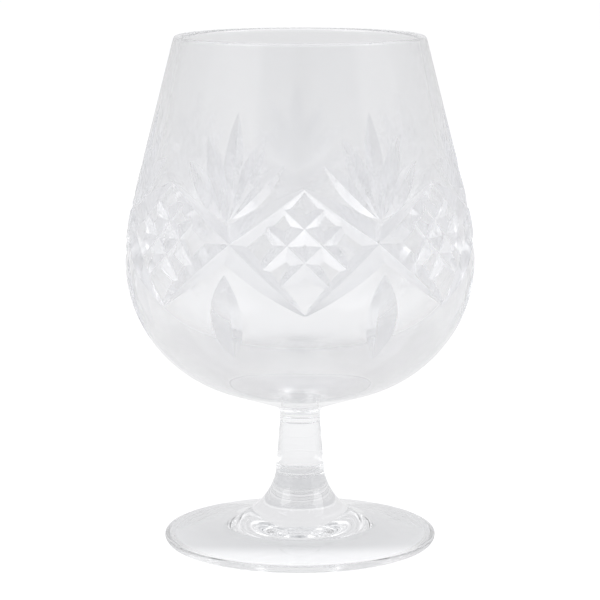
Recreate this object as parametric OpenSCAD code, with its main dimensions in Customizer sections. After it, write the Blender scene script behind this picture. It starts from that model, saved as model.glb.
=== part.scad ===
// Cut crystal brandy snifter: a thick bowl with a wheel-cut belt of diamonds, fans and olives,
// a short solid stem and a wide foot. Millimetres, the foot's underside on Z = 0, +Z up, and
// the middle of one diamond towards -Y.
// Each piece is a gather of crystal of its own, joined hot to the next one on a flat seam.

/* [Bowl] */
// Height of the bowl from the seam under it to the top of the lip
bowl_h = 98.5; // [94:0.5:104]
// Diameter at the widest place
belly_d = 88.7; // [84:0.1:93]
// Height of the bowl's straight neck, from the seam to the fillet
neck_h = 1.7; // [1.2:0.1:2.5]
// Diameter over the middle of the lip
lip_d = 61.8; // [58:0.1:66]
// Thickness of the wall at the lip, which is rounded over
lip_wall = 2; // [1.6:0.1:2.6]
// Thickness of the wall at the widest place, before it is cut
belly_wall = 4.6; // [4:0.1:6]
// Thickness of the base of the bowl on its axis, from the seam to the bottom of the hollow
base_wall = 15; // [12:0.5:19]
// Radius of the outside above the widest place
shoulder_r = 58.8; // [52:0.1:66]
// Radius of the outside below the widest place
belly_r = 35; // [33:0.1:36.5]
// Radius of the hollow below the widest place
hollow_r = 22; // [19:0.1:25]
// Slope of the bowl's underside near the stem, in degrees
base_slope = 18.5; // [15:0.5:22]
// Radius of the fillet between the underside and the stem
neck_fillet = 2.3; // [1.5:0.1:3]

/* [Stem] */
// Height of the stem between its two seams
stem_h = 13.3; // [11:0.1:17]
// Diameter of the stem at its upper seam
stem_top_d = 10.3; // [9:0.1:11.5]
// Diameter of the stem at its lower seam
stem_base_d = 12.4; // [11:0.1:13.5]
// Radius to which the edges of each seam are melted round
seam_round = 0.35; // [0.2:0.05:0.6]

/* [Foot] */
// Height of the foot from the table to its seam with the stem
foot_h = 18.2; // [16:0.1:21]
// Diameter of the foot
foot_d = 69.8; // [64:0.1:76]
// Radius of the lower part of the foot's rounded edge
edge_under = 1.7; // [1.3:0.1:2.2]
// Radius of the upper part of the same edge
edge_over = 0.6; // [0.4:0.1:1.2]
// Slope of the top of the foot, in degrees
foot_slope = 9; // [7.5:0.5:11]
// Radius of the sweep from the top of the foot up into the stem
flare_r = 17.5; // [15:0.1:19]
// Height to which the foot's underside is domed
foot_dome = 3.6; // [2.8:0.1:4]
// Width of the flat ring that the foot stands on
foot_ring = 1.2; // [0.8:0.1:2.5]

/* [Diamonds] */
// Number of diamonds round the bowl, with a fan and an olive between each two
diamonds = 7; // [6:1:8]
// Height of the crossings between the diamonds, above the widest place
cross_rise = 9.7; // [8:0.1:11]
// Height of a diamond's top above the crossings
diamond_up = 13.1; // [11:0.1:15]
// Depth of a diamond's bottom below the crossings
diamond_down = 16.7; // [14:0.1:18]
// Angle between the two flanks that the diamonds' wheel cuts, in degrees
mitre_angle = 120; // [112:1:128]
// Depth of the wide cuts that frame the diamonds, at the crossings
frame_depth = 2.15; // [1.8:0.05:2.4]
// Depth of the same cuts at a diamond's top and bottom, where they run out
frame_end_depth = 0.2; // [0.15:0.05:0.4]
// Depth in the middle of the cuts that split a diamond into points
point_depth = 1.65; // [1.3:0.05:1.8]

/* [Fans] */
// Height of the foot of each fan above the crossing under it
fan_rise = 4.7; // [4:0.1:6]
// Length from there to the tip of the middle blade
fan_length = 26.9; // [24:0.1:29]
// Angle between a fan's blades, in degrees
fan_step = 21.5; // [18:0.5:23]
// Distance by which each blade starts further from the foot of the fan than the one inside it
fan_gap = 0.8; // [0.6:0.1:1.4]
// Depth of a blade in its middle
blade_depth = 1.15; // [0.9:0.05:1.4]
// Angle between the two flanks of a blade, in degrees
blade_angle = 132; // [124:1:138]

/* [Olives] */
// Distance from the crossings down to the top of the olives
olive_drop = 7.3; // [6.5:0.1:8.5]
// Height of an olive
olive_h = 21.4; // [19:0.1:22.5]
// Depth of an olive in its middle
olive_depth = 2.3; // [1.9:0.05:2.5]
// Angle between the two flanks of an olive, in degrees
olive_angle = 126; // [118:1:130]

/* [Hidden] */
$fn = 96;
// Angles that one step of a wide and of a small rounding turns through
wide_step = 2.5;
small_step = 15;
// Every cutting shape runs this far past what it cuts
overrun = 1;
// Strokes in which each half of a wide cut is ground
half_strokes = 2;
// Each blade's length as a share of the middle one's, from the middle outwards
blade_shares = [1, 0.84, 0.73];
// Where the two point cuts of one direction start on a diamond's upper edge, as shares of it
point_top_shares = [0.3, 0.56];
// Where the same two end on the lower edge across from it, as shares of that edge
point_low_shares = [0.42, 0.65];
// Tint of the crystal
crystal = [0.86, 0.9, 0.93, 0.45];

pitch = 360 / diamonds;
bowl_z = foot_h + stem_h;
// The bowl's underside from its neck outwards: fillet, straight part, then the belly arc. It
// gives the height of the widest place, so that the neck stays on the stem at every size
fillet_c = [stem_top_d / 2 + neck_fillet, bowl_z + neck_h];
under_start = fillet_c + neck_fillet * [-sin(base_slope), cos(base_slope)];
belly_c_x = belly_d / 2 - belly_r;
belly_z = under_start.y + belly_r * cos(base_slope)
    + (belly_c_x + belly_r * sin(base_slope) - under_start.x) * tan(base_slope);
belly_c = [belly_c_x, belly_z];
hollow_z = bowl_z + base_wall;
lip_r = lip_wall / 2;
lip = [lip_d / 2, bowl_z + bowl_h - lip_r];

// Unit vector at an angle from the radius towards +Z, or along a given vector
function dir(a) = [cos(a), sin(a)];
function unit(v) = v / norm(v);
// Points of an arc round c, with both its ends
function arc(c, r, a0, a1, step) =
    let (n = ceil(abs(a1 - a0) / step)) [for (i = [0 : n]) c + r * dir(a0 + (a1 - a0) * i / n)];
// Angle that the line faces which passes c and p at distances that differ by reach
function touch(c, p, reach) = atan2(p.y - c.y, p.x - c.x) - acos(reach / norm(p - c));
// Melted edge of a piece of radius r that lies above or below a seam on height z
function seam_edge(r, z, above) =
    above ? arc([r - seam_round, z + seam_round], seam_round, -90, 0, small_step)
    : arc([r - seam_round, z - seam_round], seam_round, 0, 90, small_step);

// Outside above the widest place: shoulder arc, then a straight taper to the lip
shoulder_c = [belly_d / 2 - shoulder_r, belly_z];
taper = touch(shoulder_c, lip, shoulder_r - lip_r);
shoulder_end = shoulder_c + shoulder_r * dir(taper);
// Hollow: the same turns a wall's thickness in, with a wide arc for its floor
hollow_top_r = shoulder_r - belly_wall;
hollow_top_c = [belly_d / 2 - belly_wall - hollow_top_r, belly_z];
hollow_taper = touch(hollow_top_c, lip, hollow_top_r + lip_r);
hollow_c = [belly_d / 2 - belly_wall - hollow_r, belly_z];
hollow_drop = belly_z - hollow_z;
floor_r = (pow(hollow_r, 2) - pow(hollow_c.x, 2) - pow(hollow_drop, 2))
    / (2 * (hollow_r - hollow_drop));
floor_c = [0, hollow_z + floor_r];
floor_turn = atan2(hollow_c.y - floor_c.y, hollow_c.x);
// Top of the foot: a cone from the rounded edge, then the sweep that meets the seam
edge_low_c = [foot_d / 2 - edge_under, edge_under];
edge_c = [foot_d / 2 - edge_over, edge_under];
edge_top = edge_c + edge_over * dir(90 - foot_slope);
foot_up = [-cos(foot_slope), sin(foot_slope)];
foot_rim = [stem_base_d / 2, foot_h - seam_round];
sweep = edge_top - foot_rim + flare_r * dir(90 - foot_slope);
cone_length = -sweep * foot_up - sqrt(pow(sweep * foot_up, 2) - sweep * sweep + pow(flare_r, 2));
flare_c = edge_top + cone_length * foot_up + flare_r * dir(90 - foot_slope);
flare_turn = 180 + asin((flare_c.y - foot_rim.y) / flare_r);
// Dome under the foot: part of one wide sphere inside the ring that it stands on
ring_in = edge_low_c.x - foot_ring;
dome_r = (pow(ring_in, 2) + pow(foot_dome, 2)) / (2 * foot_dome);
dome_turn = asin(ring_in / dome_r);

// Places on the outside of the bowl are pairs of an angle round from -Y and a height
crossing = [pitch / 2, belly_z + cross_rise];

// Radius of the outside at a height, and the angle by which it faces up there
function bowl_r(z) =
    z > shoulder_end.y ? shoulder_end.x - (z - shoulder_end.y) * tan(taper)
    : z > belly_z ? shoulder_c.x + sqrt(pow(shoulder_r, 2) - pow(z - belly_z, 2))
    : belly_c.x + sqrt(pow(belly_r, 2) - pow(z - belly_z, 2));
function bowl_tilt(z) =
    z > shoulder_end.y ? taper : asin((z - belly_z) / (z > belly_z ? shoulder_r : belly_r));
// Point at a place of the outside, and the way it faces there
function on_bowl(s) = [bowl_r(s.y) * sin(s.x), -bowl_r(s.y) * cos(s.x), s.y];
function facing(s) =
    let (t = bowl_tilt(s.y)) [cos(t) * sin(s.x), -cos(t) * cos(s.x), sin(t)];
// Height of the outside, halfway from one place to another, over the straight line between them
function swell(s, e) =
    let (m = (s + e) / 2) (on_bowl(m) - (on_bowl(s) + on_bowl(e)) / 2) * facing(m);
// Way out of the glass there, square to that line or to any given one
function outward(s, e, along) =
    let (f = facing((s + e) / 2)) unit(f - (f * along) * along);
// Place that lies a length up the outside from another one, in a direction from straight up
function up_bowl(s, length, a) =
    let (z = s.y + length * cos(a) * cos(taper))
    [s.x + length * sin(a) / bowl_r((s.y + z) / 2) * 180 / PI, z];
// Place at t on the path of a wide cut: a diamond's top at -1, the crossing beside it at 0 and
// the next diamond's bottom at 1; and the depth of the cut there
function frame_place(side, t) =
    [side * (1 + t) * crossing.x, crossing.y - t * (t < 0 ? diamond_up : diamond_down)];
function frame_sink(t) = frame_depth - (frame_depth - frame_end_depth) * t * t;

// Puts a shape on point o with its own axes along x, y and z
module set_on(o, x, y, z) {
    multmatrix([[x.x, y.x, z.x, o.x], [x.y, y.y, z.y, o.y], [x.z, y.z, z.z, o.z]]) children();
}

// Section of a V-shaped groove with its bottom on the given x, opening along way
module groove(x, way, high, angle) {
    wide = high * tan(angle / 2);
    polygon([[x, 0], [x + way * high, -wide], [x + way * high, wide]]);
}

// A straight groove from place s to place e, as deep under each of them as given
module stroke(s, e, s_depth, e_depth, angle) {
    p = on_bowl(s) - s_depth * facing(s);
    q = on_bowl(e) - e_depth * facing(e);
    along = unit(q - p);
    out = outward(s, e, along);
    long = norm(q - p) + 2 * overrun;
    set_on(p - overrun * along, out, cross(along, out), along)
        linear_extrude(long)
            groove(0, 1, max(s_depth, e_depth) + swell(s, e) + overrun, angle);
}

// A groove from place s to place e by a wheel that was sunk into the glass between them
module wheel_cut(s, e, depth, angle) {
    p = on_bowl(s);
    q = on_bowl(e);
    along = unit(q - p);
    out = outward(s, e, along);
    half = norm(q - p) / 2;
    bow = depth - swell(s, e);
    wheel_r = (pow(half, 2) + pow(bow, 2)) / (2 * bow);
    turn = 2 * (asin(half / wheel_r) + atan(overrun / wheel_r));
    set_on((p + q) / 2 + (wheel_r - bow) * out, -out, along, cross(along, out))
        rotate([0, 0, -turn / 2])
            rotate_extrude(angle = turn)
                groove(wheel_r, -1, depth + overrun, angle);
}

module all_round() {
    for (i = [0 : diamonds - 1])
        rotate([0, 0, i * pitch]) children();
}

// Stroke i of the wide cuts, which run from diamonds' tops to their neighbours' bottoms
module frame_cuts(side, i) {
    t = i / half_strokes - 1;
    u = t + 1 / half_strokes;
    all_round()
        stroke(frame_place(side, t), frame_place(side, u), frame_sink(t), frame_sink(u),
            mitre_angle);
}

// Point cuts of one direction: from a diamond's upper edge to the lower edge across from it
module point_cuts(side, i) {
    s = frame_place(side, point_top_shares[i] - 1);
    e = frame_place(side, point_low_shares[i]) - [side * pitch, 0];
    sink = point_depth - swell(s, e);
    all_round()
        stroke(s, e, sink, sink, mitre_angle);
}

// Blade i of every fan, counted from the middle one to either side
module fan_cuts(i) {
    fan = crossing + [0, fan_rise];
    s = up_bowl(fan, fan_gap * abs(i), fan_step * i);
    e = up_bowl(fan, fan_length * blade_shares[abs(i)], fan_step * i);
    all_round()
        wheel_cut(s, e, blade_depth, blade_angle);
}

// Upright leaf-shaped cuts under the crossings
module olive_cuts() {
    s = crossing - [0, olive_drop];
    all_round()
        wheel_cut(s, s - [0, olive_h], olive_depth, olive_angle);
}

// The bowl as it was blown, before it is cut
module bowl_blank() {
    rotate_extrude()
        polygon(concat(
            [[0, bowl_z]],
            seam_edge(stem_top_d / 2, bowl_z, true),
            arc(fillet_c, neck_fillet, 180, 90 + base_slope, small_step),
            arc(belly_c, belly_r, base_slope - 90, 0, wide_step),
            arc(shoulder_c, shoulder_r, wide_step, taper, wide_step),
            arc(lip, lip_r, taper, 180 + hollow_taper, small_step),
            arc(hollow_top_c, hollow_top_r, hollow_taper, wide_step, wide_step),
            arc(hollow_c, hollow_r, 0, floor_turn, wide_step),
            arc(floor_c, floor_r, floor_turn - wide_step / 2, -90, wide_step)
        ));
}

module bowl() {
    color(crystal) difference() {
        bowl_blank();
        for (side = [-1, 1], i = [0 : 2 * half_strokes - 1]) frame_cuts(side, i);
        for (side = [-1, 1], i = [0 : len(point_top_shares) - 1]) point_cuts(side, i);
        for (i = [1 - len(blade_shares) : len(blade_shares) - 1]) fan_cuts(i);
        olive_cuts();
    }
}

module stem() {
    color(crystal) rotate_extrude()
        polygon(concat(
            [[0, foot_h]],
            seam_edge(stem_base_d / 2, foot_h, true),
            seam_edge(stem_top_d / 2, bowl_z, false),
            [[0, bowl_z]]
        ));
}

module foot() {
    color(crystal) rotate_extrude()
        polygon(concat(
            arc([0, foot_dome - dome_r], dome_r, 90, 90 - dome_turn, wide_step),
            arc(edge_low_c, edge_under, -90, -small_step, small_step),
            arc(edge_c, edge_over, 0, 90 - foot_slope, small_step),
            arc(flare_c, flare_r, 270 - foot_slope, flare_turn, wide_step * 2),
            seam_edge(stem_base_d / 2, foot_h, false),
            [[0, foot_h]]
        ));
}

bowl();
stem();
foot();
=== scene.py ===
"""Dresses the CAD frame of a cut crystal brandy snifter and sets its stage.

All sizes are in metres in the CAD's own frame: +Z up, the ring that the foot stands on at Z = 0 and
the middle of one cut diamond towards -Y. The bowl is a turned blank from which swept V-shaped
grooves are subtracted. Its shading normals are then worked out exactly, because glass shows every
facet.
"""
import math

import bmesh
import bpy
import numpy as np
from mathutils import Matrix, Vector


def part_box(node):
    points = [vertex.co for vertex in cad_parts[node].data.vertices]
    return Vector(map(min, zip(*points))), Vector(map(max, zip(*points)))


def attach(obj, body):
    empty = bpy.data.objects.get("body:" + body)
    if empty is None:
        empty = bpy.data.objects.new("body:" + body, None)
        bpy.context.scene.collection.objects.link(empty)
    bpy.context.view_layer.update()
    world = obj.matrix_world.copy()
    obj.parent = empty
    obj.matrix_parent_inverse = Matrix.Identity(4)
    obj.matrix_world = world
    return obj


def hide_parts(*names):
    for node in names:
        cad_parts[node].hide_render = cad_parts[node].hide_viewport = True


bl_info = {
    "name": "Cut Crystal Snifter",
    "version": (1, 0, 0),
    "blender": (4, 5, 0),
    "location": "3D View > Sidebar > Snifter",
    "description": "Builds a cut crystal brandy snifter and its stage",
    "category": "Object",
}

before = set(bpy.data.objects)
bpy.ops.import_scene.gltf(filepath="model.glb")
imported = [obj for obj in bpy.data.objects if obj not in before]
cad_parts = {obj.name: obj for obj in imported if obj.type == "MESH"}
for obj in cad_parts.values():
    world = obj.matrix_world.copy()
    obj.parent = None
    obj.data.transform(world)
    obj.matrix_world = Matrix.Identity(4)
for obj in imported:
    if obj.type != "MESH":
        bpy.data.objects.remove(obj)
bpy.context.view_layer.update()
FOOT_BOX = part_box("foot")
BOWL_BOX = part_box("bowl")
MM = 0.001
TINY = 1e-9


# Properties
def length(name, description, default):
    """A length property in metres, written in millimetres here."""
    return bpy.props.FloatProperty(
        name=name, description=description, default=default * MM, unit="LENGTH", subtype="DISTANCE"
    )


def turn(name, description, default):
    """An angle property in radians, written in degrees here."""
    return bpy.props.FloatProperty(
        name=name, description=description, default=math.radians(default), unit="ROTATION",
        subtype="ANGLE",
    )


def colour(name, description, default):
    """A colour property."""
    return bpy.props.FloatVectorProperty(
        name=name, description=description, default=default, size=3, subtype="COLOR", min=0.0, max=1.0
    )


class SnifterBlank(bpy.types.PropertyGroup):
    """Sizes of the turned shapes, as the CAD frame has them."""

    belly: length("Belly", "Diameter of the bowl at its widest place", 88.7)
    neck: length("Neck", "Height of the bowl's straight neck over the seam", 1.7)
    lip: length("Lip", "Diameter over the middle of the lip", 61.8)
    lip_wall: length("Lip wall", "Thickness of the wall at the lip", 2.0)
    wall: length("Wall", "Thickness of the wall at the widest place", 4.6)
    base: length("Base", "Thickness of the bowl's base on its axis", 15.0)
    shoulder: length("Shoulder", "Radius of the outside above the widest place", 58.8)
    under: length("Under", "Radius of the outside below the widest place", 35.0)
    hollow: length("Hollow", "Radius of the hollow below the widest place", 22.0)
    slope: turn("Underside", "Slope of the bowl's underside near the stem", 18.5)
    fillet: length("Fillet", "Radius between underside and stem", 2.3)
    stem_top: length("Stem top", "Diameter of the stem at its upper seam", 10.3)
    stem_base: length("Stem base", "Diameter of the stem at its lower seam", 12.4)
    seam: length("Seam", "Radius of the melted edges of the seams", 0.35)
    foot: length("Foot", "Diameter of the foot", 69.8)
    edge_under: length("Edge under", "Radius of the lower part of the foot's rounded edge", 1.7)
    edge_over: length("Edge over", "Radius of the upper part of the foot's rounded edge", 0.6)
    foot_slope: turn("Foot slope", "Slope of the top of the foot", 9.0)
    flare: length("Flare", "Radius of the sweep from the foot into the stem", 17.5)
    dome: length("Dome", "Height to which the foot's underside is domed", 3.6)
    ring: length("Ring", "Width of the flat ring that the foot stands on", 1.2)


class SnifterCuts(bpy.types.PropertyGroup):
    """Sizes of the wheel cuts, as the CAD frame has them."""

    count: bpy.props.IntProperty(name="Diamonds", description="Diamonds round the bowl", default=7, min=3)
    crossing: length("Crossing", "Height of the crossings above the widest place", 9.7)
    up: length("Diamond up", "Height of a diamond's top above the crossings", 13.1)
    down: length("Diamond down", "Depth of a diamond's bottom below the crossings", 16.7)
    mitre: turn("Mitre", "Angle between the flanks of the diamonds' cuts", 120.0)
    frame_depth: length("Frame depth", "Depth of the wide cuts at the crossings", 2.15)
    frame_end: length("Frame end", "Depth of the wide cuts at their ends", 0.2)
    point_depth: length("Point depth", "Depth of the point cuts in their middle", 1.65)
    fan_rise: length("Fan rise", "Height of a fan's foot above the crossing", 4.7)
    fan_length: length("Fan length", "Length of a fan to the tip of its middle blade", 26.9)
    fan_step: turn("Fan step", "Angle between a fan's blades", 21.5)
    fan_gap: length("Fan gap", "Distance by which each blade starts further out", 0.8)
    blade_depth: length("Blade depth", "Depth of a blade in its middle", 1.15)
    blade_angle: turn("Blade angle", "Angle between the flanks of a blade", 132.0)
    olive_drop: length("Olive drop", "Distance from the crossings down to the olives", 7.3)
    olive_height: length("Olive height", "Height of an olive", 21.4)
    olive_depth: length("Olive depth", "Depth of an olive in its middle", 2.3)
    olive_angle: turn("Olive angle", "Angle between the flanks of an olive", 126.0)


class SnifterGlass(bpy.types.PropertyGroup):
    """Optics of the crystal."""

    tint: colour("Tint", "Colour that each polished surface leaves of white light", (0.985, 0.987, 0.991))
    cut_tint: colour("Cut tint", "Colour that each cut surface leaves of white light", (0.945, 0.95, 0.968))
    shade: colour("Shade", "Colour that each surface leaves of light to the floor", (0.985, 0.987, 0.99))
    bend: bpy.props.FloatProperty(
        name="Index", description="Index of refraction of lead crystal", default=1.545, min=0.0, max=3.0
    )


# Profiles: turn between the points of an arc in degrees, and pieces of a straight stretch
SEAM_TURN, FILLET_TURN, LIP_TURN = 9.0, 6.0, 12.0
BELLY_TURN, SHOULDER_TURN, INNER_TURN, HOLLOW_TURN = 1.5, 1.0, 1.2, 2.0
EDGE_TURN, FLARE_TURN, DOME_TURN = 7.5, 2.0, 0.5
NECK_PIECES, UNDERSIDE_PIECES, TAPER_PIECES = 4, 10, 30
STEM_PIECES, RING_PIECES, FOOT_PIECES = 12, 3, 10
WIDE_SEGMENTS, STEM_SEGMENTS = 252, 180
RIGHT = math.pi / 2


class Profile:
    """Points of a turned outline with, for each step between two of them, where its normals come from.

    A run is (kind, centre r, centre z, sign): on an arc, kind 1, the normal is the way from the centre
    to the point, times the sign; on a line, kind 0, it is (r, z) itself.
    """

    def __init__(self):
        self.points, self.steps, self.runs = [], [], []

    def add(self, points, run):
        """The points follow on the last ones, with which they share their first one."""
        self.steps.append(np.full(len(points) - 1, len(self.runs)))
        self.points.append(points[1:] if self.points else points)
        self.runs.append(run)

    def arc(self, centre, radius, start, end, step, sign=1.0):
        """centre + radius (cos a, sin a) for a from start to end in radians, about step degrees apart."""
        n = max(1, math.ceil(abs(end - start) / math.radians(step)))
        a = np.linspace(start, end, n + 1)
        points = np.asarray(centre) + radius * np.column_stack([np.cos(a), np.sin(a)])
        self.add(points, (1.0, centre[0], centre[1], sign))

    def line(self, start, end, pieces=1):
        """Straight from start to end; the normal is on the right-hand side of the way."""
        start, end = np.asarray(start, float), np.asarray(end, float)
        t = np.linspace(0.0, 1.0, pieces + 1)[:, None]
        way = (end - start) / np.linalg.norm(end - start)
        self.add(start + t * (end - start), (0.0, way[1], -way[0], 1.0))

    def arrays(self):
        """All points, the run of each step and all runs, as arrays."""
        return np.vstack(self.points), np.concatenate(self.steps), np.array(self.runs)


def touch(c, p, reach):
    """Angle that the line faces which passes c and p at distances that differ by reach."""
    return math.atan2(p[1] - c[1], p[0] - c[0]) - math.acos(reach / math.dist(p, c))


def direction(a):
    """(cos a, sin a)"""
    return np.array([math.cos(a), math.sin(a)])


class Shape:
    """Centres and angles that the sizes give for the bowl and the foot."""

    def __init__(self, b):
        self.b = b
        self.bowl_z, self.foot_z = BOWL_BOX[0][2], FOOT_BOX[1][2]
        self.fillet_c = np.array([b.stem_top / 2 + b.fillet, self.bowl_z + b.neck])
        self.under_start = self.fillet_c + b.fillet * direction(b.slope + RIGHT)
        under_x = b.belly / 2 - b.under
        run = under_x + b.under * math.sin(b.slope) - self.under_start[0]
        self.belly_z = self.under_start[1] + b.under * math.cos(b.slope) + run * math.tan(b.slope)
        self.under_c = np.array([under_x, self.belly_z])
        self.lip_r = b.lip_wall / 2
        self.lip = np.array([b.lip / 2, BOWL_BOX[1][2] - self.lip_r])
        self.shoulder_c = np.array([b.belly / 2 - b.shoulder, self.belly_z])
        self.taper = touch(self.shoulder_c, self.lip, b.shoulder - self.lip_r)
        self.shoulder_end = self.shoulder_c + b.shoulder * direction(self.taper)
        self.inner_r = b.shoulder - b.wall
        self.inner_c = np.array([b.belly / 2 - b.wall - self.inner_r, self.belly_z])
        self.inner_taper = touch(self.inner_c, self.lip, self.inner_r + self.lip_r)
        self.hollow_c = np.array([b.belly / 2 - b.wall - b.hollow, self.belly_z])
        self.hollow_z = self.bowl_z + b.base
        drop = self.belly_z - self.hollow_z
        self.floor_r = (b.hollow**2 - self.hollow_c[0] ** 2 - drop**2) / (2 * (b.hollow - drop))
        self.floor_c = np.array([0.0, self.hollow_z + self.floor_r])
        self.floor_turn = math.atan2(self.hollow_c[1] - self.floor_c[1], self.hollow_c[0])

    def radius(self, z):
        """Radius of the uncut outside at height z: straight taper, shoulder arc or belly arc."""
        b, z = self.b, np.asarray(z, float)
        over = self.shoulder_end[0] - (z - self.shoulder_end[1]) * math.tan(self.taper)
        dz = z - self.belly_z
        shoulder = self.shoulder_c[0] + np.sqrt(np.maximum(b.shoulder**2 - dz**2, 0))
        under = self.under_c[0] + np.sqrt(np.maximum(b.under**2 - dz**2, 0))
        return np.where(z > self.shoulder_end[1], over, np.where(dz > 0, shoulder, under))

    def tilt(self, z):
        """Angle by which the uncut outside faces up at height z."""
        b, dz = self.b, np.asarray(z, float) - self.belly_z
        arc = np.arcsin(np.clip(dz / np.where(dz > 0, b.shoulder, b.under), -1, 1))
        return np.where(np.asarray(z) > self.shoulder_end[1], self.taper, arc)

    def point(self, az, z):
        """(r sin az, -r cos az, z) on the uncut outside."""
        r = self.radius(z)
        return np.stack([r * np.sin(az), -r * np.cos(az), np.broadcast_to(z, r.shape)], axis=-1)

    def facing(self, az, z):
        """Outward normal of the uncut outside."""
        t = self.tilt(z)
        return np.stack([np.cos(t) * np.sin(az), -np.cos(t) * np.cos(az), np.sin(t)], axis=-1)


def mesh_of(name, verts, faces, source):
    """A mesh whose faces keep in the attribute source what they came from."""
    mesh = bpy.data.meshes.new(name)
    mesh.from_pydata(verts, [], faces)
    mark = mesh.attributes.new("source", "INT", "FACE")
    mark.data.foreach_set("value", np.asarray(source, np.int32))
    mesh.update()
    return mesh


def lathe(profile, segments, name):
    """Turns a profile round the axis: vertex (i, k) is (r_k cos a_i, r_k sin a_i, z_k).

    A point on the axis becomes one shared vertex. The source of a face is its run.
    """
    points, steps, _ = profile.arrays()
    a = np.linspace(0.0, 2 * math.pi, segments, endpoint=False)
    on_axis = points[:, 0] < TINY
    sizes = np.where(on_axis, 1, segments)
    first = np.cumsum(sizes) - sizes
    verts = [
        np.array([[0.0, 0.0, z]]) if axis
        else np.column_stack([r * np.cos(a), r * np.sin(a), np.full(segments, z)])
        for (r, z), axis in zip(points, on_axis)
    ]
    i = np.arange(segments)
    j = (i + 1) % segments
    faces, source = [], []
    for k, run in enumerate(steps):
        low, high = first[k], first[k + 1]
        if on_axis[k]:
            corners = [np.full(segments, low), high + j, high + i]
        elif on_axis[k + 1]:
            corners = [low + i, low + j, np.full(segments, high)]
        else:
            corners = [low + i, low + j, high + j, high + i]
        faces += np.column_stack(corners).tolist()
        source += [int(run)] * segments
    return mesh_of(name, np.vstack(verts), faces, source)


# Runs of the bowl's profile that the code asks for: the disc that the stem covers, and the first inside
SEAM_DISC, INSIDE_RUN = 0, 9


def bowl_profile(shape):
    """Outline of the bowl: seam, neck, fillet, underside, belly, shoulder, taper, lip and hollow."""
    b = shape.b
    p = Profile()
    seam_c = np.array([b.stem_top / 2 - b.seam, shape.bowl_z + b.seam])
    p.line((0.0, shape.bowl_z), (seam_c[0], shape.bowl_z))
    p.arc(seam_c, b.seam, -RIGHT, 0.0, SEAM_TURN)
    p.line((b.stem_top / 2, seam_c[1]), (b.stem_top / 2, shape.fillet_c[1]), NECK_PIECES)
    p.arc(shape.fillet_c, b.fillet, math.pi, RIGHT + b.slope, FILLET_TURN, -1.0)
    under_end = shape.under_c + b.under * direction(b.slope - RIGHT)
    p.line(shape.under_start, under_end, UNDERSIDE_PIECES)
    p.arc(shape.under_c, b.under, b.slope - RIGHT, 0.0, BELLY_TURN)
    p.arc(shape.shoulder_c, b.shoulder, 0.0, shape.taper, SHOULDER_TURN)
    p.line(shape.shoulder_end, shape.lip + shape.lip_r * direction(shape.taper), TAPER_PIECES)
    p.arc(shape.lip, shape.lip_r, shape.taper, math.pi + shape.inner_taper, LIP_TURN)
    inner_start = shape.lip + shape.lip_r * direction(math.pi + shape.inner_taper)
    inner_end = shape.inner_c + shape.inner_r * direction(shape.inner_taper)
    p.line(inner_start, inner_end, TAPER_PIECES)
    p.arc(shape.inner_c, shape.inner_r, shape.inner_taper, 0.0, INNER_TURN, -1.0)
    p.arc(shape.hollow_c, b.hollow, 0.0, shape.floor_turn, HOLLOW_TURN, -1.0)
    p.arc(shape.floor_c, shape.floor_r, shape.floor_turn, -RIGHT, INNER_TURN, -1.0)
    return p


def stem_profile(shape):
    """Outline of the stem between its seams, whose discs the bowl and the foot cover."""
    b = shape.b
    low = np.array([b.stem_base / 2 - b.seam, shape.foot_z + b.seam])
    high = np.array([b.stem_top / 2 - b.seam, shape.bowl_z - b.seam])
    p = Profile()
    p.arc(low, b.seam, -RIGHT, 0.0, SEAM_TURN)
    p.line(low + [b.seam, 0.0], high + [b.seam, 0.0], STEM_PIECES)
    p.arc(high, b.seam, 0.0, RIGHT, SEAM_TURN)
    return p


def foot_profile(shape):
    """Outline of the foot: dome, ring, edge, cone, flare and seam, whose disc the stem covers."""
    b = shape.b
    under_c = np.array([b.foot / 2 - b.edge_under, b.edge_under])
    over_c = np.array([b.foot / 2 - b.edge_over, b.edge_under])
    tilt = RIGHT - b.foot_slope
    edge_top = over_c + b.edge_over * direction(tilt)
    up = np.array([-math.cos(b.foot_slope), math.sin(b.foot_slope)])
    rim = np.array([b.stem_base / 2, shape.foot_z - b.seam])
    sweep = edge_top - rim + b.flare * direction(tilt)
    cone = -sweep @ up - math.sqrt((sweep @ up) ** 2 - sweep @ sweep + b.flare**2)
    flare_c = edge_top + cone * up + b.flare * direction(tilt)
    flare_turn = math.pi + math.asin((flare_c[1] - rim[1]) / b.flare)
    ring_in = under_c[0] - b.ring
    dome_r = (ring_in**2 + b.dome**2) / (2 * b.dome)
    dome_turn = math.asin(ring_in / dome_r)
    p = Profile()
    p.arc((0.0, b.dome - dome_r), dome_r, RIGHT, RIGHT - dome_turn, DOME_TURN, -1.0)
    p.line((ring_in, 0.0), (under_c[0], 0.0), RING_PIECES)
    p.arc(under_c, b.edge_under, -RIGHT, 0.0, EDGE_TURN)
    p.arc(over_c, b.edge_over, 0.0, tilt, EDGE_TURN)
    p.line(edge_top, edge_top + cone * up, FOOT_PIECES)
    p.arc(flare_c, b.flare, 3 * RIGHT - b.foot_slope, flare_turn, FLARE_TURN, -1.0)
    p.arc(rim - [b.seam, 0.0], b.seam, 0.0, RIGHT, SEAM_TURN)
    return p


# Cuts: places on a path, how far the tools stand out of the glass, and how far they run past their ends
STATIONS, STRAIGHT_STATIONS = 25, 4
FRAME_CLEAR, POINT_CLEAR, WHEEL_CLEAR = 1.5 * MM, 3.0 * MM, 1.0 * MM
STROKE_OVERRUN, WHEEL_OVERRUN = 1.0 * MM, 1.08
# A point cut starts at the first share of the way down a diamond's upper edge, and ends at the second
# share of the way down the lower edge opposite
POINT_CUTS = ((0.3, 0.42), (0.56, 0.65))
# Lengths of a fan's middle, next and outer blades, as shares of its length
BLADES = (1.0, 0.84, 0.73)


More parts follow.
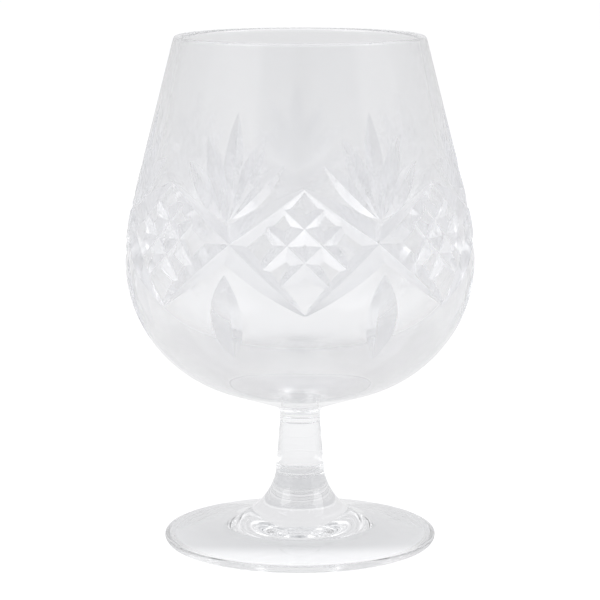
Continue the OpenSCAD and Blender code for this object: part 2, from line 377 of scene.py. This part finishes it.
def unit(vectors):
    """The vectors of the last axis at length one."""
    return vectors / np.linalg.norm(vectors, axis=-1, keepdims=True)


def square_to(out, way):
    """out less its part along way, at length one."""
    return unit(out - np.sum(out * way, axis=-1, keepdims=True) * way)


def swept(points, out, half, high):
    """V-shaped grooves along paths: at each station the bottom P, and P + high (out -+ tan half side).

    points and out are (paths, stations, 3). side is out x the way along the path, so that both flanks'
    normals, which look into the groove, are out sin half +- side cos half.
    """
    way = unit(np.gradient(points, axis=1))
    out = square_to(out, way)
    side = np.cross(way, out)
    wide = high * math.tan(half)
    rows = [points, points + high * out - wide * side, points + high * out + wide * side]
    left = out * math.sin(half) + side * math.cos(half)
    right = out * math.sin(half) - side * math.cos(half)
    return np.stack(rows, axis=2), np.stack([left, right], axis=2)


def groove_mesh(name, rows, base):
    """Closed triangular tubes through the rows; a face's source is base + 3 path + 0, 1 (flanks) or 2."""
    paths, stations = rows.shape[:2]
    k = np.arange(stations - 1)
    faces, source = [], []
    for path in range(paths):
        start, end = path * stations * 3, (path * stations + stations - 1) * 3
        v = start + 3 * k
        mark = base + 3 * path
        for part, (p, q) in enumerate(((0, 1), (2, 0), (1, 2))):
            faces += np.column_stack([v + p, v + q, v + 3 + q, v + 3 + p]).tolist()
            source += [mark + part] * (stations - 1)
        faces += [[start, start + 2, start + 1], [end, end + 1, end + 2]]
        source += [mark + 2] * 2
    return mesh_of(name, rows.reshape(-1, 3), faces, source)


class Cutter:
    """Collects the groups of grooves and the tables from which their normals are read.

    A place is (angle round from the front, height) on the uncut outside.
    """

    def __init__(self, shape, cuts, first_mark):
        self.shape, self.mark = shape, first_mark
        self.meshes, self.paths, self.normals = [], [], []
        self.pitch = 2 * math.pi / cuts.count
        self.turns = self.pitch * np.arange(cuts.count)

    def carve(self, name, points, out, angle, high):
        """Adds the grooves along paths of points. out is the way out of the glass at each point."""
        rows, normals = swept(points, out, angle / 2, high)
        self.meshes.append(groove_mesh(name, rows, self.mark))
        self.paths += list(points)
        self.normals += list(normals)
        self.mark += 3 * len(points)

    def follow(self, name, az, z, depth, angle, high):
        """A groove through places (az, z), the given depth under the outside, repeated all round."""
        turned = az[None, :] + self.turns[:, None]
        heights = np.broadcast_to(z, turned.shape)
        out = self.shape.facing(turned, heights)
        points = self.shape.point(turned, heights) - depth[None, :, None] * out
        self.carve(name, points, out, angle, high)

    def stroke(self, name, start, end, depth, angle, high):
        """A groove with a straight bottom from place start to place end, depth under the outside in the
        middle, repeated all round."""
        p, q = self.shape.point(*start), self.shape.point(*end)
        middle = (start[0] + end[0]) / 2, (start[1] + end[1]) / 2
        out = self.shape.facing(*middle)
        sink = depth - np.dot(self.shape.point(*middle) - (p + q) / 2, out)
        reach = np.linalg.norm(q - p)
        along = np.linspace(-STROKE_OVERRUN, reach + STROKE_OVERRUN, STRAIGHT_STATIONS)
        line = p - sink * out + along[:, None] * unit(q - p)
        c, s, none = np.cos(self.turns), np.sin(self.turns), 0 * self.turns
        spin = np.array([[c, -s, none], [s, c, none], [none, none, none + 1]])
        points = np.einsum("ijn,kj->nki", spin, line)
        outs = np.einsum("ijn,kj->nki", spin, np.broadcast_to(out, line.shape))
        self.carve(name, points, outs, angle, high)

    def wheel(self, name, start, end, depth, angle):
        """A groove whose bottom is an arc through places start and end, depth under the place between,
        repeated all round."""
        middle = (start[0] + end[0]) / 2, (start[1] + end[1]) / 2
        p, q, m = (
            self.shape.point(az + self.turns, np.full_like(self.turns, z)) for az, z in (start, end, middle)
        )
        way = unit(q - p)
        out = square_to(
            self.shape.facing(middle[0] + self.turns, np.full_like(self.turns, middle[1])), way
        )
        half = np.linalg.norm(q - p, axis=1, keepdims=True) / 2
        bow = depth - np.sum((m - (p + q) / 2) * out, axis=1, keepdims=True)
        radius = (half**2 + bow**2) / (2 * bow)
        reach = np.arcsin(half / radius) * WHEEL_OVERRUN
        a = np.linspace(-1.0, 1.0, STATIONS)[None, :, None] * reach[:, None]
        centre = ((p + q) / 2 + (radius - bow) * out)[:, None]
        points = centre + radius[:, None] * (np.sin(a) * way[:, None] - np.cos(a) * out[:, None])
        outs = np.cos(a) * out[:, None] - np.sin(a) * way[:, None]
        self.carve(name, points, outs, angle, depth + WHEEL_CLEAR)


def all_cuts(shape, cuts, first_mark):
    """Frame, point, fan and olive cuts, in groups whose copies round the bowl are clear of each other."""
    cutter = Cutter(shape, cuts, first_mark)
    half_pitch = cutter.pitch / 2
    cross_z = shape.belly_z + cuts.crossing

    def frame_place(side, t):
        """Place on a wide cut: t is -1 at a diamond's top, 0 at the crossing and 1 at a bottom."""
        t = np.asarray(t, float)
        return side * (1 + t) * half_pitch, cross_z - t * np.where(t < 0, cuts.up, cuts.down)

    t = np.linspace(-1.0, 1.0, 2 * STATIONS - 1)
    depth = cuts.frame_depth - (cuts.frame_depth - cuts.frame_end) * t**2
    for side in (-1, 1):
        az, z = frame_place(side, t)
        cutter.follow("frame", az, z, depth, cuts.mitre, cuts.frame_depth + FRAME_CLEAR)
    for side in (-1, 1):
        for top, low in POINT_CUTS:
            az, z = frame_place(side, low)
            across = az - side * cutter.pitch, z
            cutter.stroke("points", frame_place(side, top - 1), across, cuts.point_depth, cuts.mitre,
                          cuts.point_depth + POINT_CLEAR)

    fan_z = cross_z + cuts.fan_rise

    def fan_place(reach, a):
        """Place at the distance reach from the fan's foot, at the angle a from straight up the bowl."""
        z = fan_z + reach * math.cos(a) * math.cos(shape.taper)
        return half_pitch + reach * math.sin(a) / float(shape.radius((fan_z + z) / 2)), z

    for blade in range(1 - len(BLADES), len(BLADES)):
        a = cuts.fan_step * blade
        start = fan_place(cuts.fan_gap * abs(blade), a)
        end = fan_place(BLADES[abs(blade)] * cuts.fan_length, a)
        cutter.wheel("fan", start, end, cuts.blade_depth, cuts.blade_angle)
    top = cross_z - cuts.olive_drop
    cutter.wheel("olive", (half_pitch, top), (half_pitch, top - cuts.olive_height),
                 cuts.olive_depth, cuts.olive_angle)
    return cutter


def subtract(mesh, cutters):
    """The mesh less every cutter, one after another, by Boolean modifiers on a passing object."""
    collection = bpy.context.scene.collection
    work = bpy.data.objects.new("work", mesh)
    collection.objects.link(work)
    others = []
    for k, cutter in enumerate(cutters):
        other = bpy.data.objects.new(f"cutter_{k}", cutter)
        collection.objects.link(other)
        others.append(other)
        cut = work.modifiers.new(f"cut_{k}", "BOOLEAN")
        cut.operation, cut.solver, cut.object = "DIFFERENCE", "MANIFOLD", other
    depsgraph = bpy.context.evaluated_depsgraph_get()
    result = bpy.data.meshes.new_from_object(work.evaluated_get(depsgraph), depsgraph=depsgraph)
    for passing in [work] + others:
        used = passing.data
        bpy.data.objects.remove(passing)
        bpy.data.meshes.remove(used)
    return result


def without(mesh, run):
    """Takes the faces of one run out of the mesh, such as the disc that a seam covers."""
    bm = bmesh.new()
    bm.from_mesh(mesh)
    mark = bm.faces.layers.int["source"]
    bmesh.ops.delete(bm, geom=[f for f in bm.faces if f[mark] == run], context="FACES")
    bm.to_mesh(mesh)
    bm.free()


def fetched(collection, name, kind, width=1):
    """One property of all items of a mesh's collection as an array, with width numbers to an item."""
    found = np.empty(width * len(collection), kind)
    collection.foreach_get(name, found)
    return found


def turned_normals(p, run):
    """The profile's normal (n_r, n_z) at each point, turned to (n_r x / r, n_r y / r, n_z)."""
    r = np.hypot(p[:, 0], p[:, 1])
    away = np.column_stack([r, p[:, 2]]) - run[:, 1:3]
    away *= (run[:, 3] / np.maximum(np.linalg.norm(away, axis=1), TINY))[:, None]
    on_arc = run[:, :1] > 0.5
    flat = np.where(on_arc, away, run[:, 1:3])
    around = p[:, :2] / np.maximum(r, TINY)[:, None]
    return np.column_stack([flat[:, :1] * around, flat[:, 1]])


def flank_normals(p, flank, points, flanks):
    """The flank's normals at the two nearest stations of a path, mixed by the place along its chord."""
    chord = points[-1] - points[0]
    place = (points - points[0]) @ chord
    t = np.interp((p - points[0]) @ chord, place, np.arange(len(points)))
    k = np.clip(t.astype(int), 0, len(points) - 2)
    mix = (t - k)[:, None]
    return flanks[k, flank] * (1 - mix) + flanks[k + 1, flank] * mix


def exact_normals(mesh, runs, cutter=None):
    """Sets each corner's normal from what its face came from: a run of the profile or a groove."""
    source = fetched(mesh.attributes["source"].data, "value", np.int32)
    corners = fetched(mesh.polygons, "loop_total", np.int32)
    vertex = fetched(mesh.loops, "vertex_index", np.int32)
    p = fetched(mesh.vertices, "co", float, 3).reshape(-1, 3)[vertex]
    mark = np.repeat(source, corners)
    normal = np.zeros((len(mark), 3))
    turned = mark < len(runs)
    normal[turned] = turned_normals(p[turned], runs[mark[turned]])
    if cutter is not None:
        for path, (points, flanks) in enumerate(zip(cutter.paths, cutter.normals)):
            flank = mark - (len(runs) + 3 * path)
            here = (flank == 0) | (flank == 1)
            normal[here] = flank_normals(p[here], flank[here], points, flanks)
    size = np.linalg.norm(normal, axis=1)
    known = size > TINY
    normal[known] /= size[known, None]
    mesh.polygons.foreach_set("use_smooth", np.ones(len(source), bool))
    mesh.normals_split_custom_set(normal)


def piece(name, mesh, cad_node, finishes=("fire_polished_crystal",)):
    """Puts a finished mesh into the scene as the piece that stands for a CAD node."""
    mesh.attributes.remove(mesh.attributes["source"])
    mesh.materials.clear()
    for finish in finishes:
        mesh.materials.append(bpy.data.materials[finish])
    obj = bpy.data.objects.new(name, mesh)
    bpy.context.scene.collection.objects.link(obj)
    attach(obj, "root")
    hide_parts(cad_node)


# Materials: for each finish its tint, lowest and highest roughness, and scales of broad and fine noise
FINISHES = {
    "fire_polished_crystal": ("tint", (0.0, 0.015), (60.0, 400.0)),
    "inside_crystal": ("tint", (0.15, 0.19), (60.0, 400.0)),
    "cut_crystal": ("cut_tint", (0.01, 0.05), (180.0, 900.0)),
}
RIPPLE = 0.004 * MM
BROAD_DETAIL, BROAD_ROUGHNESS = 2.0, 0.4
FINE_DETAIL, FINE_ROUGHNESS = 3.0, 0.6
NOISE_LOW, NOISE_HIGH = 0.35, 0.65


def node(tree, kind, **values):
    """A shader node with the given input values, by socket name with spaces as underscores."""
    made = tree.nodes.new(kind)
    for key, value in values.items():
        socket = key.replace("_", " ")
        if socket in made.inputs:
            made.inputs[socket].default_value = value
        else:
            setattr(made, key, value)
    return made


def joined(tree, kind, sockets, **values):
    """A node of the kind with outputs or numbers put into its inputs in turn."""
    made = node(tree, kind, **values)
    for place, socket in enumerate(sockets):
        if isinstance(socket, bpy.types.NodeSocket):
            tree.links.new(socket, made.inputs[place])
        else:
            made.inputs[place].default_value = socket
    return made


def new_material(name):
    """A new material with its node tree and the tree's output."""
    material = bpy.data.materials.new(name)
    material.use_nodes = True
    return material, material.node_tree, material.node_tree.nodes["Material Output"]


def glass_material(name, glass, tint, roughness, scales):
    """Clear crystal: two noises on Object coordinates move its roughness and ripple its surface.

    Shadow rays and the floor's own diffuse rays pass straight through it, so that the floor is lit
    as it is under real glass.
    """
    _, tree, out = new_material(name)
    link = tree.links.new
    shader = tree.nodes["Principled BSDF"]
    shader.inputs["Base Color"].default_value = (*tint, 1.0)
    shader.inputs["Transmission Weight"].default_value = 1.0
    shader.inputs["IOR"].default_value = glass.bend
    rays = node(tree, "ShaderNodeLightPath")
    straight = joined(
        tree, "ShaderNodeMath", (rays.outputs["Is Shadow Ray"], rays.outputs["Is Diffuse Ray"]),
        operation="MAXIMUM",
    )
    clear = node(tree, "ShaderNodeBsdfTransparent", Color=(*glass.shade, 1.0))
    either = joined(tree, "ShaderNodeMixShader", (straight.outputs[0], shader.outputs[0], clear.outputs[0]))
    link(either.outputs[0], out.inputs["Surface"])
    place = node(tree, "ShaderNodeTexCoord")
    broad = node(
        tree, "ShaderNodeTexNoise", Scale=scales[0], Detail=BROAD_DETAIL, Roughness=BROAD_ROUGHNESS
    )
    fine = node(
        tree, "ShaderNodeTexNoise", Scale=scales[1], Detail=FINE_DETAIL, Roughness=FINE_ROUGHNESS
    )
    link(place.outputs["Object"], broad.inputs["Vector"])
    link(place.outputs["Object"], fine.inputs["Vector"])
    rough = node(
        tree, "ShaderNodeMapRange",
        From_Min=NOISE_LOW, From_Max=NOISE_HIGH, To_Min=roughness[0], To_Max=roughness[1],
    )
    link(fine.outputs["Fac"], rough.inputs["Value"])
    link(rough.outputs["Result"], shader.inputs["Roughness"])
    ripple = node(tree, "ShaderNodeBump", Strength=1.0, Distance=RIPPLE)
    link(broad.outputs["Fac"], ripple.inputs["Height"])
    link(ripple.outputs["Normal"], shader.inputs["Normal"])


# Stage. The floor's paint takes the lamps' light. It also has a light of its own: CAMERA_GLOW is what the
# camera sees. What the glass sees is painted light and shade: PAINTED_LIGHT_POOL, a painted pool of light
# behind the glass, times PAINTED_CONTACT_SHADE, a painted contact shadow low close round the glass, plus
# PAINTED_FRONT_LIGHT, a painted band of light in front of the foot. A ring is its centre, the radius near
# and the value inside it, and the radius far and the value beyond it.
FLOOR_HALF = 14.0
FLOOR_PAINT = (0.7, 0.7, 0.7, 1.0)
CAMERA_GLOW = 0.44
PAINTED_LIGHT_POOL = ((0.0, 0.15, 0.0), 0.02, 0.29, 0.2, 0.185)
PAINTED_CONTACT_SHADE = ((0.0, 0.01, 0.0), 0.02, 0.2, 0.055, 1.0)
PAINTED_FRONT_LIGHT, PAINTED_FRONT_LIGHT_RISE, PAINTED_FRONT_LIGHT_FALL = 0.25, (-0.012, -0.024), (-0.1, -0.06)
# The world is a pale grey tent. A patch of it is (left, right) in degrees round from the front,
# (low, high) as sines of heights, softness in degrees, and tone. There are a lighter panel on each
# side, a darker gap towards the camera and a dark core in the gap.
TENT = (0.81, 0.81, 0.82, 1.0)
TENT_FOR_CAMERA = (1.0, 1.0, 1.0, 1.0)
PANEL = (1.12, 1.12, 1.13, 1.0)
PATCHES = (
    ((-88, -36), (0.2, 0.85), 3, PANEL),
    ((50, 88), (0.2, 0.85), 3, PANEL),
    ((-36, 50), (-0.1, 0.75), 5, (0.62, 0.63, 0.65, 1.0)),
    ((-7, 7), (0.02, 0.32), 1.5, (0.03, 0.03, 0.04, 1.0)),
)
# A softness in degrees, divided by this, is about the same softness in sines near the horizon
DEGREES_PER_SINE = 60
LAMPS = {"key": (-0.76, -0.40, 0.74), "fill": (0.80, -0.20, 0.74)}
LAMP_AIM, LAMP_SIZE, LAMP_POWER = (0.0, 0.0, 0.08), 0.5, 1.1
# The camera was fitted to the ellipses of lip and foot and to the outline. Its angles are in radians:
# how far it looks down, and how far it stands round the axis from the middle of a diamond.
CAMERA_AWAY, CAMERA_HEIGHT = 0.63402, 0.1705
CAMERA_DOWN, CAMERA_ROUND = 0.16856, math.radians(-1.5)
# Lens and sensor are in millimetres, as Blender takes them
LENS, SENSOR = 151.17, 36.0
CLIP_NEAR, CLIP_FAR = 0.01, 100.0
# Reflections inside the glass count as glossy: with fewer of them lip and rim get dark outlines, and
# with more of them the cuts lose their dark specks
BOUNCES, GLOSSY_BOUNCES = 64, 22


def soft_step(tree, value, low, high, low_result=0.0, high_result=1.0):
    """low_result where the value is at low, high_result at high, and smooth in between."""
    step = node(
        tree, "ShaderNodeMapRange", interpolation_type="SMOOTHSTEP",
        From_Min=low, From_Max=high, To_Min=low_result, To_Max=high_result,
    )
    tree.links.new(value, step.inputs["Value"])
    return step.outputs["Result"]


def product(tree, *values):
    """All the values multiplied."""
    total = values[0]
    for value in values[1:]:
        total = joined(tree, "ShaderNodeMath", (total, value), operation="MULTIPLY").outputs[0]
    return total


def multiply_add(tree, value, by, plus):
    """value times by, plus plus."""
    return joined(tree, "ShaderNodeMath", (value, by, plus), operation="MULTIPLY_ADD").outputs[0]


def mixed(tree, factor, *colours):
    """A colour between two, each given as numbers or as a socket."""
    mix = node(tree, "ShaderNodeMix", data_type="RGBA")
    tree.links.new(factor, mix.inputs["Factor"])
    sockets = [s for s in mix.inputs if s.type == "RGBA"]
    for socket, tone in zip(sockets, colours):
        if isinstance(tone, tuple):
            socket.default_value = tone
        else:
            tree.links.new(tone, socket)
    return next(s for s in mix.outputs if s.type == "RGBA")


def seen_rays(tree, direct, through):
    """The light of its own that a backdrop has: direct for the camera's rays, and through for those
    that glass reflects or sends on."""
    rays = node(tree, "ShaderNodeLightPath")
    glass = joined(
        tree, "ShaderNodeMath", (rays.outputs["Is Glossy Ray"], rays.outputs["Is Transmission Ray"]),
        operation="MAXIMUM",
    )
    by_glass = product(tree, glass.outputs[0], through)
    return multiply_add(tree, rays.outputs["Is Camera Ray"], direct, by_glass)


def stage_floor():
    """A wide pale floor: lit by the lamps, with a light of its own for what the camera and the glass
    see of it, so that it goes white for the camera and still takes the glass's shadow. What the glass sees
    of that light is painted: a pool of light behind the glass, painted shade close round the glass and a
    band of light in front of the foot."""
    s = FLOOR_HALF
    mesh = bpy.data.meshes.new("floor")
    mesh.from_pydata([(-s, -s, 0), (s, -s, 0), (s, s, 0), (-s, s, 0)], [], [(0, 1, 2, 3)])
    floor = bpy.data.objects.new("floor", mesh)
    bpy.context.scene.collection.objects.link(floor)
    material, tree, out = new_material("pale_floor")
    tree.nodes.remove(tree.nodes["Principled BSDF"])
    place = node(tree, "ShaderNodeTexCoord").outputs["Object"]
    split = joined(tree, "ShaderNodeSeparateXYZ", (place,))

    def ring(centre, near, near_glow, far, far_glow):
        """near_glow within the distance near of a centre on the floor, far_glow beyond far."""
        away = joined(tree, "ShaderNodeVectorMath", (place, centre), operation="DISTANCE")
        return soft_step(tree, away.outputs["Value"], near, far, near_glow, far_glow)

    y = split.outputs["Y"]
    # Painted light and shade that only the glass sees: a band of light in front of the foot, plus a pool of
    # light behind the glass times a painted shadow close round it.
    painted_light_band = product(tree, soft_step(tree, y, *PAINTED_FRONT_LIGHT_RISE), soft_step(tree, y, *PAINTED_FRONT_LIGHT_FALL))
    through = multiply_add(tree, painted_light_band, PAINTED_FRONT_LIGHT, product(tree, ring(*PAINTED_LIGHT_POOL), ring(*PAINTED_CONTACT_SHADE)))
    glow = node(tree, "ShaderNodeEmission", Color=(1.0, 1.0, 1.0, 1.0))
    tree.links.new(seen_rays(tree, CAMERA_GLOW, through), glow.inputs["Strength"])
    paint = node(tree, "ShaderNodeBsdfDiffuse", Color=FLOOR_PAINT)
    both = joined(tree, "ShaderNodeAddShader", (paint.outputs[0], glow.outputs[0]))
    tree.links.new(both.outputs[0], out.inputs["Surface"])
    mesh.materials.append(material)


def stage_world():
    """A pale grey tent with lighter and darker patches, as the glass sees it. The camera sees white."""
    world = bpy.data.worlds.new("tent")
    world.use_nodes = True
    tree = world.node_tree
    place = node(tree, "ShaderNodeTexCoord").outputs["Generated"]
    split = joined(tree, "ShaderNodeSeparateXYZ", (place,))
    front = product(tree, split.outputs["Y"], -1.0)
    around = joined(tree, "ShaderNodeMath", (split.outputs["X"], front), operation="ARCTAN2").outputs[0]
    up = split.outputs["Z"]
    tone = TENT
    for (left, right), (low, high), soft, patch_tone in PATCHES:
        edges = [math.radians(v) for v in (left - soft, left + soft, right + soft, right - soft)]
        blur = soft / DEGREES_PER_SINE
        inside = product(
            tree,
            soft_step(tree, around, edges[0], edges[1]),
            soft_step(tree, around, edges[2], edges[3]),
            soft_step(tree, up, low - blur, low + blur),
            soft_step(tree, up, high + blur, high - blur),
        )
        tone = mixed(tree, inside, tone, patch_tone)
    rays = node(tree, "ShaderNodeLightPath")
    tone = mixed(tree, rays.outputs["Is Camera Ray"], tone, TENT_FOR_CAMERA)
    tree.links.new(tone, tree.nodes["Background"].inputs["Color"])
    bpy.context.scene.world = world


def stage_lamp(name, place):
    """A square softbox at place that looks at the glass."""
    lamp = bpy.data.lights.new(name, "AREA")
    lamp.shape, lamp.size, lamp.energy = "SQUARE", LAMP_SIZE, LAMP_POWER
    obj = bpy.data.objects.new(name, lamp)
    x, y, z = np.subtract(LAMP_AIM, place)
    obj.location = place
    obj.rotation_euler = (math.atan2(math.hypot(x, y), -z), 0.0, math.atan2(-x, y))
    bpy.context.scene.collection.objects.link(obj)


def stage_camera():
    """The photograph's camera: 0.634 m from the axis, 170 mm high, 9.7 degrees down, just left of a
    diamond's middle."""
    data = bpy.data.cameras.new("camera")
    data.sensor_width, data.lens = SENSOR, LENS
    data.clip_start, data.clip_end = CLIP_NEAR, CLIP_FAR
    camera = bpy.data.objects.new("camera", data)
    x, y = CAMERA_AWAY * math.sin(CAMERA_ROUND), -CAMERA_AWAY * math.cos(CAMERA_ROUND)
    camera.location = (x, y, CAMERA_HEIGHT)
    camera.rotation_euler = (RIGHT - CAMERA_DOWN, 0.0, CAMERA_ROUND)
    bpy.context.scene.collection.objects.link(camera)
    bpy.context.scene.camera = camera


# Operators
class SNIFTER_OT_finishes(bpy.types.Operator):
    """Makes the crystal's finishes"""

    bl_idname = "snifter.finishes"
    bl_label = "Finishes"

    def execute(self, context):
        glass = context.scene.snifter_glass
        for name, (tint, roughness, scales) in FINISHES.items():
            glass_material(name, glass, getattr(glass, tint), roughness, scales)
        return {"FINISHED"}


class SNIFTER_OT_bowl(bpy.types.Operator):
    """Builds the cut bowl"""

    bl_idname = "snifter.bowl"
    bl_label = "Bowl"

    def execute(self, context):
        shape = Shape(context.scene.snifter_blank)
        profile = bowl_profile(shape)
        runs = profile.arrays()[2]
        cutter = all_cuts(shape, context.scene.snifter_cuts, len(runs))
        mesh = subtract(lathe(profile, WIDE_SEGMENTS, "blank"), cutter.meshes)
        mesh.name = "bowl_glass"
        without(mesh, SEAM_DISC)
        exact_normals(mesh, runs, cutter)
        source = fetched(mesh.attributes["source"].data, "value", np.int32)
        piece("bowl_glass", mesh, "bowl", FINISHES)
        finish = np.digitize(source, [INSIDE_RUN, len(runs)])
        mesh.polygons.foreach_set("material_index", finish.astype(np.int32))
        return {"FINISHED"}


class SNIFTER_OT_stem(bpy.types.Operator):
    """Builds the stem"""

    bl_idname = "snifter.stem"
    bl_label = "Stem"

    def execute(self, context):
        profile = stem_profile(Shape(context.scene.snifter_blank))
        mesh = lathe(profile, STEM_SEGMENTS, "stem_glass")
        exact_normals(mesh, profile.arrays()[2])
        piece("stem_glass", mesh, "stem")
        return {"FINISHED"}


class SNIFTER_OT_foot(bpy.types.Operator):
    """Builds the foot"""

    bl_idname = "snifter.foot"
    bl_label = "Foot"

    def execute(self, context):
        profile = foot_profile(Shape(context.scene.snifter_blank))
        mesh = lathe(profile, WIDE_SEGMENTS, "foot_glass")
        exact_normals(mesh, profile.arrays()[2])
        piece("foot_glass", mesh, "foot")
        return {"FINISHED"}


class SNIFTER_OT_stage(bpy.types.Operator):
    """Sets floor, world, lamps and camera"""

    bl_idname = "snifter.stage"
    bl_label = "Stage"

    def execute(self, context):
        stage_floor()
        stage_world()
        for name, place in LAMPS.items():
            stage_lamp(name, place)
        stage_camera()
        scene = context.scene
        scene.view_settings.view_transform = "Standard"
        scene.cycles.max_bounces = BOUNCES
        scene.cycles.glossy_bounces = GLOSSY_BOUNCES
        scene.cycles.transmission_bounces = BOUNCES
        return {"FINISHED"}


class SNIFTER_PT_panel(bpy.types.Panel):
    """Lists the sizes and the operators in the sidebar"""

    bl_label = "Snifter"
    bl_idname = "SNIFTER_PT_panel"
    bl_space_type = "VIEW_3D"
    bl_region_type = "UI"
    bl_category = "Snifter"

    def draw(self, context):
        for cls, name in GROUPS:
            box = self.layout.box()
            for size in cls.__annotations__:
                box.prop(getattr(context.scene, name), size)
        for operator in OPERATORS:
            self.layout.operator(operator.bl_idname)


GROUPS = (
    (SnifterBlank, "snifter_blank"),
    (SnifterCuts, "snifter_cuts"),
    (SnifterGlass, "snifter_glass"),
)
OPERATORS = (SNIFTER_OT_finishes, SNIFTER_OT_bowl, SNIFTER_OT_stem, SNIFTER_OT_foot, SNIFTER_OT_stage)


def register():
    """Registers the classes and gives every scene the property groups."""
    for cls, name in GROUPS:
        bpy.utils.register_class(cls)
        setattr(bpy.types.Scene, name, bpy.props.PointerProperty(type=cls))
    for cls in (*OPERATORS, SNIFTER_PT_panel):
        bpy.utils.register_class(cls)


def unregister():
    """Takes back what register did, in the opposite order."""
    for cls in reversed((*OPERATORS, SNIFTER_PT_panel)):
        bpy.utils.unregister_class(cls)
    for cls, name in reversed(GROUPS):
        delattr(bpy.types.Scene, name)
        bpy.utils.unregister_class(cls)


def main():
    """Builds the glass and its stage."""
    register()
    bpy.ops.snifter.finishes()
    bpy.ops.snifter.bowl()
    bpy.ops.snifter.stem()
    bpy.ops.snifter.foot()
    bpy.ops.snifter.stage()


if __name__ == "__main__":
    main()
